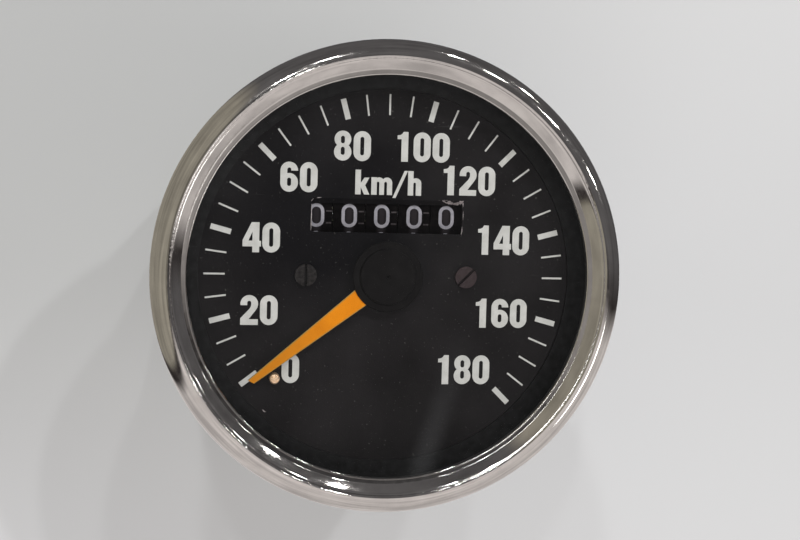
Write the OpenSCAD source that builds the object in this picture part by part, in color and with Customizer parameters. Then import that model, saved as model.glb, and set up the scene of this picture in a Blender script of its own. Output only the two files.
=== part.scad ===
// Round dashboard speedometer with a five drum odometer, for a flexible drive cable.
// Every piece is drawn face up, x right, y towards twelve o'clock, z out of the dial,
// and then stood upright so that the dial looks along -Y and twelve o'clock is +Z.
// The origin is on the case axis, in the plane where the bezel seats on the panel.

/* [Bezel] */
// Outer diameter of the bezel
bezel_d = 85.4; // [84:0.2:92]
// Height of the bezel's crest above the panel
bezel_h = 11; // [10.6:0.1:12]
// Thickness of the bezel's rolled sheet
bezel_t = 0.5; // [0.4:0.05:0.6]
// Radius of the bezel's outer bead
bead_r = 3.4; // [3:0.1:3.8]
// Width of the bezel's face, from its outer edge to its lip
bezel_w = 6.5; // [6.2:0.1:6.8]
// Width of the lip that bears on the glass
lip_w = 0.9; // [0.6:0.1:1.2]
// How far the bezel's skirt leans in below the bead
skirt_taper = 0.6; // [0.4:0.1:0.8]

/* [Case] */
// Depth of the case behind the panel
case_depth = 52; // [51:1:60]
// Wall of the drawn case
case_wall = 0.8; // [0.6:0.1:1.2]
// Thickness of the case's rear wall
rear_wall = 1; // [0.8:0.1:1.4]
// Radius of the drawn corner between barrel and rear wall
case_corner_r = 3; // [2:0.5:4]
// Width of the flange round the case's mouth
flange_w = 1.5; // [1.2:0.1:1.8]
// Thickness of that flange
flange_t = 0.8; // [0.6:0.1:1]

/* [Glass] */
// Thickness of the glass
glass_t = 1.2; // [1:0.1:1.5]
// Thickness of the gasket under the glass
gasket_t = 0.5; // [0.4:0.1:0.8]
// Thickness of the black ring's flange over the dial's edge
ring_flange_t = 0.5; // [0.4:0.1:0.8]
// Radial wall of the black ring that carries the glass
ring_wall = 2.4; // [2:0.1:2.8]

/* [Dial] */
// Thickness of the dial plate
dial_t = 0.8; // [0.6:0.1:1]
// Radius at the outer ends of the scale marks
tick_r = 33.3; // [32:0.1:33.6]
// Length of a scale mark
tick_len = 3.8; // [3:0.1:4]
// Width of a short unnumbered mark
tick_thin = 0.32; // [0.25:0.01:0.5]
// Width of a numbered mark
tick_wide = 1; // [0.8:0.05:1.2]
// Height of the printing above the dial
print_t = 0.04; // [0.03:0.01:0.08]
// Height of a numeral
numeral_h = 5.45; // [5.2:0.05:5.6]
// Width of a round numeral
numeral_w = 3.2; // [3:0.05:3.3]
// Width of a numeral's upright stroke
stroke_w = 1.24; // [1.1:0.02:1.3]
// Width of the odometer window
window_w = 27.9; // [27:0.1:28.4]
// Height of the odometer window at the dial's back
window_h = 5.3; // [5:0.1:5.7]
// Height of the bevel along the window's top edge
window_bevel = 0.9; // [0.6:0.05:1]
// Height of the drum axle above the dial's centre
drum_y = 11; // [10.8:0.1:11.4]
// How far the window's centre lies below the drum axle
window_drop = 0.45; // [0.3:0.05:0.6]
// Distance of each dial screw from the dial's centre
dial_screw_x = 14.85; // [14.6:0.05:15.1]
// Head diameter of a dial screw
dial_screw_head_d = 4; // [3.6:0.1:4.2]

/* [Pointer] */
// Radius at the pointer's tip
pointer_r = 31.5; // [30:0.1:32]
// Width of the pointer at the hub
pointer_root_w = 3.46; // [3:0.02:3.8]
// Width of the pointer at its tip
pointer_tip_w = 1.2; // [0.8:0.05:1.4]
// Thickness of the pointer
pointer_t = 0.5; // [0.4:0.05:0.6]
// Height of the pointer's underside above the dial
pointer_rise = 1.8; // [1.6:0.05:2]
// Radius of the hub's flange
hub_r = 6.5; // [6.2:0.1:6.8]
// Radius of the hub's raised cap
hub_cap_r = 5.1; // [4.8:0.1:5.4]
// Height of the hub's top above the dial
hub_rise = 3; // [2.9:0.05:3.2]
// Angle of the resting pointer, counted left from twelve o'clock
rest_angle = 128.4; // [127.8:0.1:129]
// Angle of the stop pin, counted left from twelve o'clock
stop_angle = 133; // [133:0.2:135]
// Radius at which the stop pin stands
stop_r = 27.7; // [27:0.1:28.2]
// Diameter of the stop pin
stop_d = 1.9; // [1.6:0.05:2]
// Diameter of the pointer's spindle
pointer_spindle_d = 1.2; // [1:0.05:1.3]

/* [Odometer] */
// Radius of a number drum
drum_r = 7.8; // [7.6:0.05:8]
// Distance from one number drum to the next
drum_pitch = 6.04; // [6:0.01:6.1]
// Side gap between number drums
drum_gap = 0.2; // [0.15:0.05:0.3]
// Sideways place of the middle drum
drum_middle_x = -0.9; // [-1.1:0.05:-0.7]
// Diameter of the drums' axle
axle_d = 2; // [1.8:0.05:2.1]
// Distance of a carry pinion's stub from the axle
pinion_offset = 4.2; // [4.15:0.01:4.25]

/* [Drive] */
// Diameter of the drive spindle
spindle_d = 3; // [2.8:0.1:3.2]
// Diameter of the two worm shafts
shaft_d = 1.5; // [1.4:0.05:1.6]
// Radius of the magnet
magnet_r = 11; // [10.6:0.1:11.4]
// Thickness of the magnet
magnet_t = 5.5; // [5:0.1:6]
// Wall of the drag cup
cup_wall = 0.6; // [0.4:0.05:0.8]
// Air gap on each side of the drag cup's skirt
air_gap = 0.8; // [0.7:0.05:0.9]
// Wall of the steel field ring
field_wall = 1.6; // [1.2:0.1:2]
// Circular pitch of the first and last worm gears
pitch_fine = 1.6; // [1.58:0.01:1.62]
// Circular pitch of the middle worm gear
pitch_coarse = 2; // [1.98:0.01:2.02]
// Face width of a worm wheel
wheel_t = 1.5; // [1.2:0.1:1.6]

/* [Frame] */
// Thickness of the mechanism's base plate
base_t = 2.5; // [2:0.1:3]
// Thickness of the bridge plate
bridge_t = 2; // [1.8:0.1:2.4]
// Gap between the base plate and the case's rounded corner
frame_gap = 2.7; // [1.7:0.2:3.7]
// Radius of the bridge plate
bridge_r = 32; // [31.6:0.1:33]
// Diameter of a frame post
post_d = 5; // [4.6:0.1:5.6]
// Head diameter of a bridge screw
bridge_screw_head_d = 5.6; // [5:0.1:5.8]
// Head height of a bridge screw
bridge_screw_head_h = 1.6; // [1.4:0.1:2]
// Diameter of a bridge screw's thread
bridge_screw_d = 3; // [2.6:0.1:3.2]
// Width of a drum bracket
bracket_w = 9; // [8:0.5:10]
// Outer diameter of the bearing bush of the drive spindle
bearing_d = 6.8; // [6:0.1:7.2]
// Length of the spindle's square socket behind the case
socket_len = 9; // [8:0.5:10]

/* [Rear] */
// Outer diameter of the cable connector's thread
thread_d = 18; // [17.5:0.5:19]
// Length of the connector's threaded neck
thread_len = 10; // [9:0.5:12]
// Width across the flats of the connector's hexagon
hexagon_w = 22; // [21:0.5:24]
// Bore of the connector's mouth
cable_bore_d = 8.4; // [8:0.1:9]
// Diameter of a mounting stud
stud_d = 5; // [4.8:0.1:6]
// Length of a mounting stud behind the case
stud_len = 18; // [14:1:24]
// Distance between the two mounting studs
stud_spacing = 60; // [59:0.5:61]
// Body diameter of a bulb holder
bulb_holder_d = 9.9; // [9.4:0.1:10.2]
// Length of a bulb holder inside the case
bulb_holder_len = 6; // [5:0.5:7]
// Diameter of a bulb
bulb_d = 5.6; // [5:0.1:6]
// Length of a bulb, without its round end
bulb_len = 7; // [6:0.5:8]
// Diameter of a frame screw's thread
frame_screw_d = 3.9; // [3.5:0.1:4.2]
// Head diameter of a frame screw
frame_screw_head_d = 7.2; // [6.8:0.1:8]
// Head height of a frame screw
frame_screw_head_h = 2.4; // [2:0.1:2.8]
// Width of the earth blade
earth_w = 6.3; // [6.1:0.1:6.5]
// Thickness of the earth blade
earth_t = 0.8; // [0.7:0.05:1]
// Length of the earth blade
earth_len = 10; // [8:0.5:12]

/* [Hidden] */
$fn = 64;

// clearances
running = 0.05;   // radial, between a shaft and its bearing
seat = 0.02;      // radial, between pieces fixed into each other
skirt_gap = 0.4;  // between the bezel's skirt and the case flange
dial_gap = 0.7;   // between the dial's edge and the case wall
screw_gap = 1.06; // between a frame screw's head and a mounting stud
post_inset = 3;   // from the bridge plate's edge in to the middle of a post
hub_clear = 2.2;  // between the hub's top and the glass
drum_clear = 0.4; // between the drums and the dial, and the drums and the bridge

// radii from the bezel inwards
bezel_r = bezel_d / 2;
flange_r = bezel_r - skirt_taper - bezel_t - skirt_gap;
case_r = flange_r - flange_w;
crimp_r = case_r + 0.85;
lip_r = bezel_r - bezel_w;
dial_r = case_r - case_wall - dial_gap;
ring_r = flange_r - 0.6;
ring_bore_r = tick_r + 1;
glass_r = ring_r - 1.2;
bead_centre_r = bezel_r - bead_r;

// heights from the panel forwards
flange_front = bezel_t + flange_t;
dial_z = flange_front + 1;
dial_back = dial_z - dial_t;
glass_back = dial_z + hub_rise + hub_clear;
glass_front = glass_back + glass_t;
lip_z = glass_front + bezel_t;
ring_front = glass_back - gasket_t;
bead_z = bezel_h - bead_r;
crest_r = bead_centre_r - 0.2;
crest_z = bead_z + sqrt(bead_r * bead_r - 0.04);

// pointer
pointer_z = dial_z + pointer_rise;
hub_z = pointer_z + pointer_t;
hub_top = dial_z + hub_rise;
boss_r = 1.7;
spindle_r = pointer_spindle_d / 2;
pivot_r = 0.4;
scale_step = 1.5; // degrees of pointer swing for one unit of speed
scale_top = 90;   // the speed that stands at twelve o'clock

// odometer
window_y = drum_y - window_drop;
drum_z = dial_back - drum_clear - drum_r;
drum_w = drum_pitch - drum_gap;
axle_r = axle_d / 2;
drum_web = 1.2;
drum_hub = 1.8;
rim_in_r = drum_r - 1.2;
carry_teeth = 20;
pinion_teeth = 6;
carry_pitch_r = pinion_offset * carry_teeth / (carry_teeth - pinion_teeth);
pinion_pitch_r = carry_pitch_r - pinion_offset;
carry_addendum = 0.45;

// gear train
main_teeth = 16;
slow_teeth = 25;
addendum = 0.4;
dedendum = 0.55;
main_wheel_r = main_teeth * pitch_fine / (2 * PI);
middle_wheel_r = slow_teeth * pitch_coarse / (2 * PI);
drum_wheel_r = slow_teeth * pitch_fine / (2 * PI);
main_worm_r = 2.6;
cross_worm_r = 2;
drum_worm_r = 1.8;
cross_x = main_wheel_r + main_worm_r;
upright_x = cross_x + middle_wheel_r + cross_worm_r;
upright_y = drum_y + drum_wheel_r + drum_worm_r;
shaft_r = shaft_d / 2;

// heights from the dial backwards
bridge_front = drum_z - drum_r - drum_clear - 0.1;
bridge_back = bridge_front - bridge_t;
spring_h = 0.6;
spring_turns = 4.5;
spring_growth = 1.15;
spring_strip = 0.12;
spring_z = bridge_back - 2.2;
cup_front = bridge_back - 3.5;
cup_t = 0.8;
magnet_front = cup_front - cup_t - 1.5;
magnet_back = magnet_front - magnet_t;
cup_back = magnet_back - 0.3;
field_front = magnet_front + 0.8;
field_t = 1;
field_back = cup_back - 0.7 - field_t;
cross_z = field_back - 1 - main_wheel_r - addendum;
boss_front = cross_z - main_wheel_r - addendum - 1;
case_back = -case_depth;
case_inside = case_back + rear_wall;
base_front = case_inside + base_t;
cup_in_r = magnet_r + air_gap;
cup_r = cup_in_r + cup_wall;
field_in_r = cup_r + air_gap;
field_r = field_in_r + field_wall;
drive_r = spindle_d / 2;

// places on the frame and the rear wall
base_r = case_r - case_corner_r - frame_gap;
stud_neck_r = stud_d / 2 + 0.4;
post_places = [for (a = [-19.5, 23, 157, 199.5]) (bridge_r - post_inset) * [cos(a), sin(a)]];
frame_screw_r = stud_spacing / 2 - stud_neck_r - frame_screw_head_d / 2 - screw_gap;
frame_screw_places = [for (a = [20, 160, 270]) frame_screw_r * [cos(a), sin(a)]];
bulb_r = base_r * 0.836;
bulb_places = [for (a = [-129.3, -50.7]) bulb_r * [cos(a), sin(a)]];
earth_place = base_r * [-0.706, 0.588];
stud_places = [[0, -stud_spacing / 2], [0, stud_spacing / 2]];
bracket_t = 0.8;
bracket_left_x = drum_middle_x - 2.5 * drum_pitch - 0.5 - bracket_t;
bracket_right_x = upright_x + wheel_t / 2 + 0.8;
bracket_foot = 4.5;
lug_t = 2;

// turns a piece drawn face up so that its face looks along -Y
module upright() rotate([90, 0, 0]) children();

// puts a piece that is drawn along z onto the drums' axis, with x to the rear
module on_drum_axis(x) translate([x, drum_y, drum_z]) rotate([0, 90, 0]) children();

// a flat ring
module ring(r_out, r_in, z0, z1)
    translate([0, 0, z0]) difference() {
        cylinder(r = r_out, h = z1 - z0);
        translate([0, 0, -1]) cylinder(r = r_in, h = z1 - z0 + 2);
    }

// a plain round bar from z0 to z1
module rod(r, z0, z1) translate([0, 0, z0]) cylinder(r = r, h = z1 - z0);

// an upright slot with round ends, from y0 to y1, centred on x
module slot(x, w, y0, y1) {
    translate([x, y0 + w / 2]) circle(r = w / 2);
    translate([x, y1 - w / 2]) circle(r = w / 2);
    translate([x - w / 2, y0 + w / 2]) square([w, y1 - y0 - w]);
}

// a block whose top is a half circle, from x0 to x1 and from the line up to y1
module arch(x0, x1, y1) {
    r = (x1 - x0) / 2;
    translate([x0 + r, y1 - r]) circle(r = r);
    translate([x0, 0]) square([x1 - x0, y1 - r]);
}

// spur outline whose tooth gaps face +x; teeth are flat sided and wider at the root
module gear_outline(teeth, pitch_r, tip, root) {
    pitch = 2 * PI * pitch_r / teeth;
    tip_r = pitch_r + tip;
    root_r = pitch_r - root;
    half_tip = asin(0.14 * pitch / tip_r);
    half_root = asin(0.22 * pitch / root_r);
    polygon([
        for (i = [0:teeth - 1], s = [[root_r, -half_root], [tip_r, -half_tip],
                                    [tip_r, half_tip], [root_r, half_root]])
            let (a = (i + 0.5) * 360 / teeth + s[1]) s[0] * [cos(a), sin(a)]
    ]);
}

// worm wheel on the z axis with a bore, centred on z = 0
module worm_wheel(teeth, pitch_r, bore_r)
    translate([0, 0, -wheel_t / 2]) difference() {
        linear_extrude(wheel_t) gear_outline(teeth, pitch_r, addendum, dedendum);
        translate([0, 0, -1]) cylinder(r = bore_r + seat, h = wheel_t + 2);
    }

// worm sleeve along z, centred on z = 0, whose thread faces +x there
module worm(pitch_r, lead, bore_r, turns) {
    outer = pitch_r + addendum;
    core = pitch_r - dedendum;
    thread = 126;
    length = turns * lead;
    bore_fn = 10;
    bore = (bore_r + seat) / cos(180 / bore_fn);
    thread_side = [for (a = [-1:2 / 4:1]) outer * [cos(a * thread / 2), sin(a * thread / 2)]];
    core_side = [for (a = [thread / 2 + 12:(336 - thread) / 6:348 - thread / 2]) core * [cos(a), sin(a)]];
    translate([0, 0, -length / 2])
        linear_extrude(length, twist = -360 * turns, slices = 10 * turns, $fn = 12)
            rotate(-180 * turns) difference() {
                polygon(concat(thread_side, core_side));
                circle(r = bore, $fn = bore_fn);
            }
}

// one numeral of the dial, standing on the line with its left side at x = 0
module numeral(n) {
    h = numeral_h;
    w = numeral_w;
    half = w / 2;
    bar = 1.05;
    counter = w - 2 * stroke_w;
    if (n == 0) {
        difference() {
            slot(half, w, 0, h);
            slot(half, counter, bar, h - bar);
        }
    }
    if (n == 1) {
        polygon([[0.75, 0], [2, 0], [2, h], [1.1, h], [0.85, h - 0.4], [0.5, h - 0.6],
                 [0, h - 0.68], [0, h - 1.35], [0.75, h - 1.35]]);
    }
    if (n == 2) {
        cut = h - 1.85;
        inner = half + counter / 2;
        right = half + sqrt(half * half - pow(h - half - cut, 2));
        difference() {
            translate([half, h - half]) circle(r = half);
            translate([-1, 0]) square([w + 2, cut]);
            slot(half, counter, cut - 1, h - bar);
        }
        polygon([[0, 0], [w, 0], [w, bar], [0.48 * w, bar], [0.85 * w, 0.48 * h],
                 [0.96 * w, 0.575 * h], [right, cut], [inner, cut],
                 [inner - 0.1, cut - 0.3], [inner - 0.3, cut - 0.65], [0.02, 1.2]]);
    }
    if (n == 4) {
        left = w - 1.43;
        right = left + stroke_w;
        difference() {
            polygon([[0, bar], [left, bar], [left, 0], [right, 0], [right, bar],
                     [w + 0.13, bar], [w + 0.13, 2 * bar], [right, 2 * bar], [right, h],
                     [1.6, h], [0, 2.2]]);
            polygon([[1.05, 2 * bar], [left, 2 * bar], [left, 3.75]]);
        }
    }
    if (n == 6) {
        bowl = h - 2.05;
        difference() {
            slot(half, w, 0, h);
            slot(half, counter, bar, h - bar);
            translate([half, half]) square([w, h - half - 1.6]);
        }
        difference() {
            slot(half, w, 0, bowl);
            slot(half, counter, bar, bowl - 0.85);
        }
    }
    if (n == 8) {
        top_r = half - 0.07;
        difference() {
            union() {
                translate([half, half]) circle(r = half);
                translate([half, h - top_r]) circle(r = top_r);
            }
            slot(half, counter, bar, bar + 1.45);
            slot(half, counter, h - 0.95 - 1.35, h - 0.95);
        }
    }
}

// the width of a numeral and of the space after it
function numeral_step(n) = n == 1 ? 3 : numeral_w + 0.36;

// a number of up to three numerals, centred on a place of the dial
module number(value, x, y) {
    digits = value >= 100 ? [1, floor(value / 10) % 10, 0] : value >= 10 ? [floor(value / 10), 0] : [0];
    steps = [for (d = digits) numeral_step(d)];
    function before(i) = i == 0 ? 0 : before(i - 1) + steps[i - 1];
    width = before(len(digits) - 1) + numeral_w;
    translate([x - width / 2, y - numeral_h / 2])
        for (i = [0:len(digits) - 1]) translate([before(i), 0]) numeral(digits[i]);
}

// the speed unit, kilometres per hour, with its left side at x = 0
module unit_mark() {
    stem = 1.02;
    low = 3.2;
    high = 4.5;
    polygon([[0, 0], [stem, 0], [stem, 1.32], [1.65, 0], [2.63, 0], [1.83, 1.69], [2.59, low - 0.1],
             [1.69, low - 0.1], [stem, 2.1], [stem, high], [0, high]]);
    translate([2.96, 0]) difference() {
        union() {
            square([stem, low]);
            arch(0.5, 2.4, low);
            arch(1.95, 3.86, low);
        }
        translate([0, -0.01]) arch(stem, stem + 0.46, low - 0.8);
        translate([0, -0.01]) arch(2.38, 2.9, low - 0.8);
    }
    polygon([[6.91, -0.5], [7.5, -0.5], [9.69, high], [9.08, high]]);
    translate([9.74, 0]) difference() {
        union() {
            square([stem, high]);
            arch(0.5, 2.5, low);
        }
        translate([0, -0.01]) arch(stem, stem + 0.46, low - 0.8);
    }
}

// places of the numbers, as the dial's printer spaced them
number_places = [
    [0, -17.3, -17.2], [20, -23.2, -6.55], [40, -23, 6.7], [60, -16.4, 17.8], [80, -6.75, 23.7],
    [100, 6.4, 23.8], [120, 15.15, 17.85], [140, 21.95, 6.95], [160, 21.9, -6.7], [180, 15.05, -17.35]
];
unit_place = [-6.1, 14.9];

// section of the bezel's bead, in the half plane of radius and height
module bead_section() difference() {
    intersection() {
        translate([bead_centre_r, bead_z]) circle(r = bead_r);
        translate([crest_r, bead_z]) square([2 * bead_r, 2 * bead_r]);
    }
    translate([bead_centre_r, bead_z]) circle(r = bead_r - bezel_t);
    translate([crest_r - 1, bead_z - 1]) square([1.6, bead_r + 1 - bezel_t]);
}

// section of the wall that falls from the bead's crest to the lip on the glass
module fall_section() {
    lip_end = lip_r + lip_w;
    polygon([[lip_end - 0.3, glass_front], [lip_end, glass_front],
             [lip_end + bezel_t / 2, glass_front + bezel_t / 3],
             [crest_r + bezel_t / 2, crest_z - bezel_t], [crest_r + bezel_t, crest_z - bezel_t / 4],
             [crest_r, crest_z], [crest_r - bezel_t / 4, crest_z - bezel_t / 4],
             [lip_end, lip_z], [lip_end - 0.3, lip_z]]);
}

module bezel() color("gainsboro") upright() {
    rotate_extrude() bead_section();
    rotate_extrude() fall_section();
    rotate_extrude() polygon([[bezel_r - bezel_t, bead_z], [bezel_r - bezel_t + 0.1, bead_z + 0.3],
                              [bezel_r - 0.1, bead_z + 0.3], [bezel_r, bead_z],
                              [bezel_r - skirt_taper, 0], [bezel_r - skirt_taper - bezel_t, 0]]);
    ring(lip_r + lip_w, lip_r, glass_front, lip_z);
    ring(bezel_r - skirt_taper - bezel_t / 2, crimp_r, 0, bezel_t);
}

module glass() color([0.85, 0.9, 0.9, 0.25]) upright() rod(glass_r, glass_back, glass_front);

module glass_gasket() color("black") upright() {
    difference() {
        ring(ring_r, lip_r + 0.3, ring_front, glass_front);
        rod(glass_r + seat, glass_back, glass_front + 1);
    }
}

module glass_ring() color([0.08, 0.08, 0.08]) upright() {
    flange_z = dial_z + 0.05;
    difference() {
        rod(ring_r, flange_front, ring_front);
        rod(ring_r - ring_wall, flange_z + ring_flange_t, ring_front + 1);
        rod(ring_bore_r, 0, ring_front);
        rod(case_r - case_wall, 0, flange_z);
    }
}

module case() color([0.62, 0.62, 0.6]) upright() {
    r0 = case_r - case_corner_r;
    z0 = case_back + case_corner_r;
    difference() {
        union() {
            rod(case_r, z0, flange_front);
            rod(r0, case_back, z0);
            translate([0, 0, z0]) rotate_extrude($fn = 128) intersection() {
                translate([r0, 0]) circle(r = case_corner_r);
                translate([r0, -case_corner_r]) square(case_corner_r);
            }
            rod(flange_r, bezel_t, flange_front);
        }
        rod(case_r - case_wall, z0, flange_front + 1);
        rod(r0 - case_wall, case_inside, z0 + 1);
        translate([0, 0, z0]) rotate_extrude($fn = 128) intersection() {
            translate([r0 - case_wall, 0]) circle(r = case_corner_r - rear_wall);
            translate([r0 - case_wall - 0.01, -case_corner_r]) square(case_corner_r);
        }
        rod(thread_d / 2 - 1 + running, case_back - 1, case_inside + 1);
        for (p = stud_places) translate(p) rod(stud_neck_r + seat, case_back - 1, case_inside + 1);
        for (p = bulb_places) translate(p) rod(bulb_holder_d / 2 + running, case_back - 1, case_inside + 1);
        for (p = frame_screw_places) translate(p)
            rod(frame_screw_d / 2 + 0.15, case_back - 1, case_inside + 1);
    }
}

module dial_plate() color([0.07, 0.07, 0.07]) upright() difference() {
    rod(dial_r, dial_back, dial_z);
    rod(1.5 + spindle_r, dial_back - 1, dial_z + 1);
    translate([-window_w / 2, 0, 0]) rotate([90, 0, 90]) linear_extrude(window_w) polygon([
        [window_y - window_h / 2, dial_back - 1],
        [window_y + window_h / 2, dial_back - 1],
        [window_y + window_h / 2, dial_back],
        [window_y + window_h / 2 + window_bevel, dial_z],
        [window_y + window_h / 2 + window_bevel, dial_z + 1],
        [window_y - window_h / 2, dial_z + 1],
    ]);
    for (s = [-1, 1]) translate([s * dial_screw_x, 0]) rod(1.1, dial_back - 1, dial_z + 1);
    rotate(stop_angle) translate([0, stop_r]) rod(stop_d / 2 + seat, dial_back - 1, dial_z + 1);
}

module dial_markings() color("ivory") upright() translate([0, 0, dial_z]) linear_extrude(print_t) {
    for (v = [0, for (s = [10:5:180]) s]) {
        angle = v == 0 ? (scale_top - 5) * scale_step : (scale_top - v) * scale_step;
        width = v % 20 == 0 ? tick_wide : tick_thin;
        rotate(angle) translate([-width / 2, tick_r - tick_len]) square([width, tick_len]);
    }
    for (p = number_places) number(p[0], p[1], p[2]);
    translate(unit_place) unit_mark();
}

module dial_screws() color([0.15, 0.15, 0.15]) upright()
    for (s = [[-1, 0], [1, -45]]) translate([s[0] * dial_screw_x, 0]) {
        difference() {
            rod(dial_screw_head_d / 2, dial_z, dial_z + 0.9);
            rotate(s[1]) translate([-0.25, -dial_screw_head_d, dial_z + 0.4])
                cube([0.5, 2 * dial_screw_head_d, 1]);
        }
        rod(0.98, dial_z - 6, dial_z);
    }

module dial_pillars() color("silver") upright()
    for (s = [-1, 1]) translate([s * dial_screw_x, 0]) difference() {
        rod(2.2, bridge_front, dial_back);
        rod(1, dial_z - 7, dial_back + 1);
    }

module stop_pin() color("peru") upright() rotate(stop_angle) translate([0, stop_r]) {
    rod(stop_d / 2, dial_back - 0.8, pointer_z + pointer_t);
}

module pointer_arm() color("darkorange") upright() rotate(rest_angle) difference() {
    union() {
        rod(boss_r + 1.5, pointer_z, hub_z);
        translate([0, 0, pointer_z]) linear_extrude(pointer_t)
            polygon([[-pointer_root_w / 2, 0], [pointer_root_w / 2, 0],
                     [pointer_root_w / 2, hub_r - 0.2], [pointer_tip_w / 2, pointer_r],
                     [-pointer_tip_w / 2, pointer_r - 0.5], [-pointer_root_w / 2, hub_r - 0.2]]);
    }
    rod(boss_r + seat, pointer_z - 1, hub_z + 1);
}

module pointer_hub() color([0.06, 0.06, 0.06]) upright() difference() {
    union() {
        rod(hub_r, hub_z, hub_z + 0.35);
        rod(hub_cap_r, hub_z, hub_top);
        rod(boss_r, dial_z + 0.5, hub_z);
    }
    rod(spindle_r, dial_z - 1, hub_z + 0.2);
    rod(0.45, hub_top - 0.3, hub_top + 1);
}

module pointer_spindle() color("silver") upright() {
    rod(spindle_r, magnet_front + 1.1, hub_z + 0.2);
    rod(pivot_r, magnet_front - 0.9, magnet_front + 1.1);
}

module drag_cup() color("lightgray") upright() difference() {
    union() {
        rod(cup_r, cup_back, cup_front);
        rod(spindle_r + 1, cup_front, cup_front + 0.8);
    }
    rod(cup_in_r, cup_back - 1, cup_front - cup_t);
    rod(spindle_r, cup_front - 2, cup_front + 2);
}

// flat spiral strip whose radius grows steadily from the collet to the stud
module hairspring() {
    inner = spindle_r + 0.8;
    sweep = spring_turns * 360;
    steps = 108;
    function reach(a) = inner + spring_growth * a / 360;
    color("goldenrod") upright() translate([0, 0, spring_z]) linear_extrude(spring_h) polygon(concat(
        [for (i = [0:steps]) let (a = i * sweep / steps) [cos(a), sin(a)] * reach(a)],
        [for (i = [steps:-1:0]) let (a = i * sweep / steps) [cos(a), sin(a)] * (reach(a) + spring_strip)]));
}

module hairspring_collet() color("goldenrod") upright()
    ring(spindle_r + 0.79, spindle_r, spring_z - 0.2, spring_z + spring_h + 0.2);

module hairspring_stud() color("silver") upright() {
    reach = spindle_r + 0.8 + spring_turns * spring_growth + spring_strip;
    translate([-reach - 0.5, 0]) rod(0.5, spring_z - 0.2, bridge_back);
}

module bridge_plate() color("silver") upright() difference() {
    rod(bridge_r, bridge_back, bridge_front);
    rod(2.2, bridge_back - 1, bridge_front + 1);
    translate([upright_x, upright_y]) rod(shaft_r + running, bridge_back - 1, bridge_front + 1);
    for (p = post_places) translate(p) rod(bridge_screw_d / 2 + 0.1, bridge_back - 1, bridge_front + 1);
    for (x = [bracket_left_x - bracket_foot / 2, bracket_right_x + bracket_t + bracket_foot / 2])
        translate([x, drum_y]) rod(1, bridge_back - 1, bridge_front + 1);
}

module bridge_screws() color("gray") upright()
    for (p = post_places) translate(p) {
        difference() {
            rod(bridge_screw_head_d / 2, bridge_front, bridge_front + bridge_screw_head_h);
            translate([-bridge_screw_head_d, -0.35, bridge_front + bridge_screw_head_h - 0.7])
                cube([2 * bridge_screw_head_d, 0.7, 1]);
        }
        rod(bridge_screw_d / 2, bridge_back - 5, bridge_front);
    }

module pointer_bearing() color("goldenrod") upright()
    ring(2.2, spindle_r + running, bridge_back - 0.3, bridge_front + 0.4);

module mechanism_frame() color("darkgray") upright() {
    difference() {
        union() {
            rod(base_r, case_inside, base_front);
            rod(bearing_d / 2 + 2, case_inside, boss_front);
            for (p = post_places) translate(p) rod(post_d / 2, case_inside, bridge_back);
            translate([upright_x, upright_y]) rod(3, base_front - 0.5, cross_z - wheel_t / 2 - 2.5);
            for (y = [-4.5 - lug_t, upright_y + 5.8])
                translate([cross_x - 2.5, y, base_front - 0.5])
                    cube([5, lug_t, cross_z + 2.5 - base_front + 0.5]);
        }
        rod(bearing_d / 2, case_inside - 1, boss_front + 1);
        for (p = post_places) translate(p) rod(bridge_screw_d / 2, bridge_back - 6, bridge_back + 1);
        for (p = frame_screw_places) translate(p)
            rod(frame_screw_d / 2 + running, case_inside - 1, base_front + 1);
        for (p = stud_places) translate(p) rod(5.5, case_inside - 1, base_front + 1);
        for (p = bulb_places) translate(p) rod(8, case_inside - 1, base_front + 1);
        translate([cross_x, -20, cross_z]) rotate([-90, 0, 0]) cylinder(r = shaft_r + running, h = 60);
        translate([upright_x, upright_y]) rod(shaft_r + running, cross_z - wheel_t / 2 - 5, cross_z);
    }
}

module frame_screws() color("gray") upright()
    for (p = frame_screw_places) translate(p) {
        difference() {
            rod(frame_screw_head_d / 2, case_back - frame_screw_head_h, case_back);
            translate([-frame_screw_head_d, -0.5, case_back - frame_screw_head_h - 1])
                cube([2 * frame_screw_head_d, 1, frame_screw_head_h / 2 + 1]);
        }
        rod(frame_screw_d / 2, case_back, base_front + 1);
    }

module spindle_bearing() color("darkgoldenrod") upright()
    ring(bearing_d / 2, drive_r + running, case_inside, boss_front);

module drive_spindle() color("lightslategray") upright() {
    tail = case_back - socket_len;
    difference() {
        union() {
            rod(drive_r, case_back - 1.2, magnet_front + 0.4);
            rod(2.9, tail, case_back - 1.2);
        }
        translate([-1.35, -1.35, tail - 1]) cube([2.7, 2.7, 7]);
        rod(pivot_r + running, magnet_front - 1.1, magnet_front + 1);
    }
}

module main_worm() color("lightslategray") upright() translate([0, 0, cross_z])
    worm(main_worm_r, pitch_fine, drive_r, 4);

module magnet() color([0.25, 0.25, 0.28]) upright()
    ring(magnet_r, drive_r + seat, magnet_back, magnet_front);

module field_ring() color("slategray") upright() difference() {
    rod(field_r, field_back, field_front);
    rod(field_in_r, field_back + field_t, field_front + 1);
    rod(drive_r + seat, field_back - 1, field_front);
}

module cross_shaft() color("silver") upright() translate([cross_x, 0, cross_z]) rotate([-90, 0, 0])
    rod(shaft_r, -4.5 - lug_t - 0.3, upright_y + 5.8 + lug_t + 0.3);

module cross_wheel() color("goldenrod") upright() translate([cross_x, 0, cross_z]) rotate([-90, 0, 0])
    rotate(180) worm_wheel(main_teeth, main_wheel_r, shaft_r);

module cross_worm() color("silver") upright() translate([cross_x, upright_y, cross_z]) rotate([-90, 0, 0])
    worm(cross_worm_r, pitch_coarse, shaft_r, 3);

module odometer_shaft() color("silver") upright() translate([upright_x, upright_y])
    rod(shaft_r, cross_z - wheel_t / 2 - 4.8, drum_z + 4);

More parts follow.
